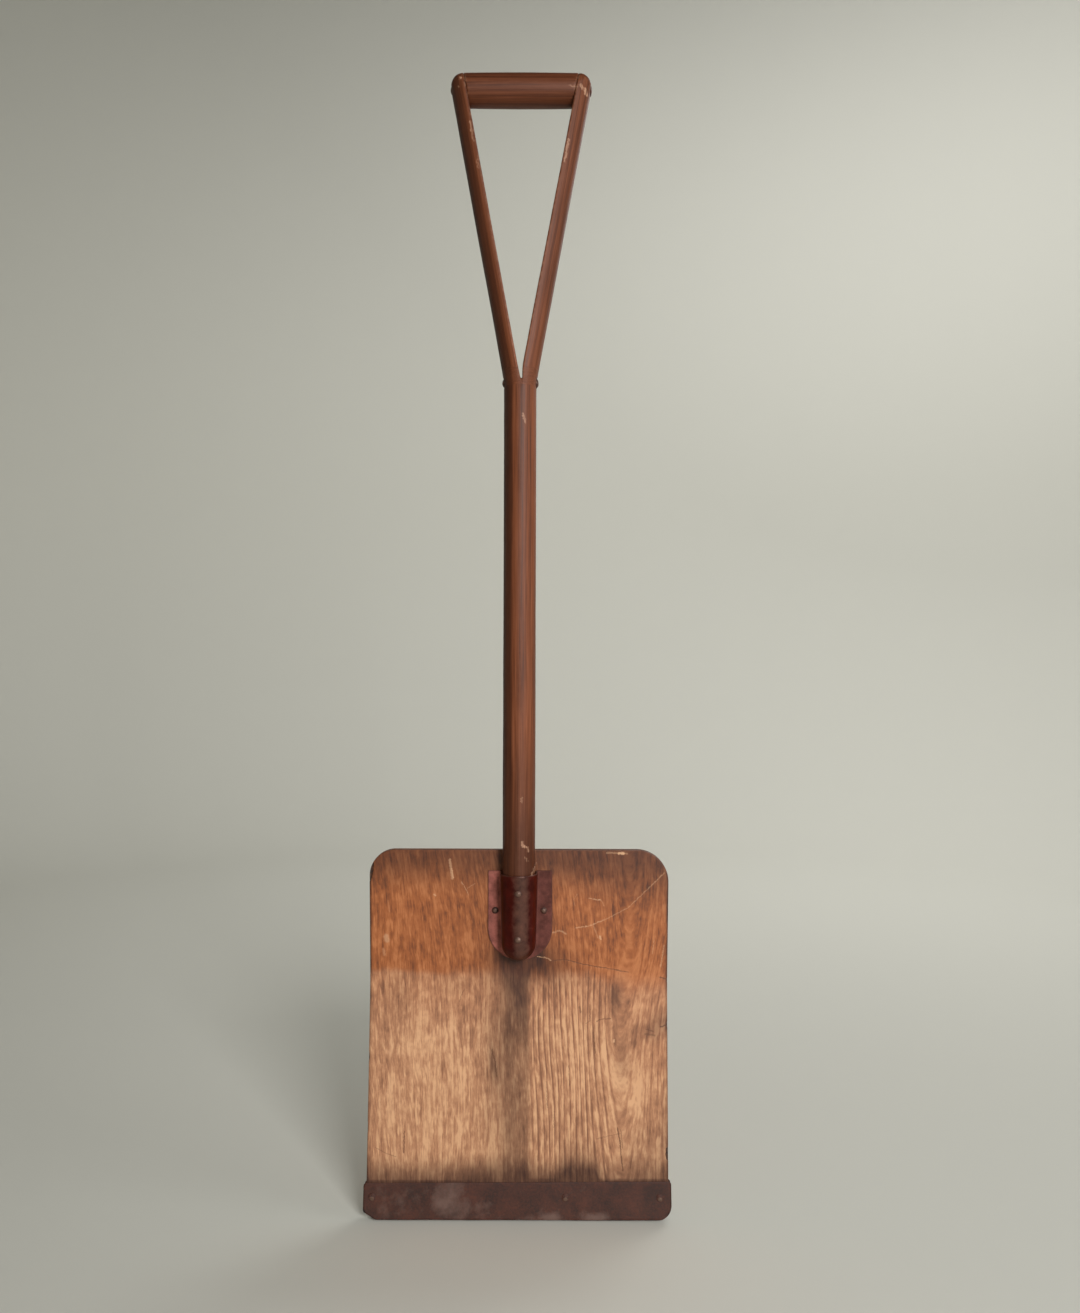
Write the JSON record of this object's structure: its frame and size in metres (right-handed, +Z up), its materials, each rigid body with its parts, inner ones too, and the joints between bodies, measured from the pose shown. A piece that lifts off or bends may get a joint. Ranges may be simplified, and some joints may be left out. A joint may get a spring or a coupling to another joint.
{
  "type": "grain scoop shovel",
  "caption": "Wooden grain scoop shovel: bent plywood blade with a steel edge band, round shaft in a pressed steel socket, and a split D-handle with a turned cross grip.",
  "frame": {"origin": "centre of the cross grip, on its axis midway between the two arms", "axes": "+Z up along the shaft, from the blade to the grip; +X along the grip to the viewer's right; -Y out of the blade's face, +Y behind the blade"},
  "size_m": [0.3541, 0.0588, 1.3283],
  "materials": {
    "handle_ash": "worn red-brown varnish",
    "grip_ash": "worn red-brown varnish",
    "blade_face": "old varnish above, bare worn wood below",
    "blade_core": "bare, darkened at the edges",
    "blade_back": "old varnish",
    "socket_steel": "dark red paint worn through to brown steel",
    "plate_steel": "worn red-brown paint over rust",
    "band_steel": "even brown rust with dusty patches",
    "rivet_steel": "rusted, rubbed at the crown"
  },
  "bodies": {
    "root": {"handle": "handle_ash", "grip": "grip_ash", "blade_face_veneer": "blade_face", "blade_core_ply": "blade_core", "blade_back_veneer": "blade_back", "socket": "socket_steel", "back_plate": "plate_steel", "edge_band": "band_steel", "grip_rivet": "rivet_steel", "grip_rivet_burr": "rivet_steel", "fork_rivet": "rivet_steel", "fork_rivet_burr": "rivet_steel", "socket_rivet_upper": "rivet_steel", "socket_rivet_lower": "rivet_steel", "flange_rivet_left": "rivet_steel", "flange_rivet_right": "rivet_steel", "band_rivet_1": "rivet_steel", "band_rivet_2": "rivet_steel", "band_rivet_3": "rivet_steel", "band_rivet_4": "rivet_steel"}
  },
  "joints": []
}
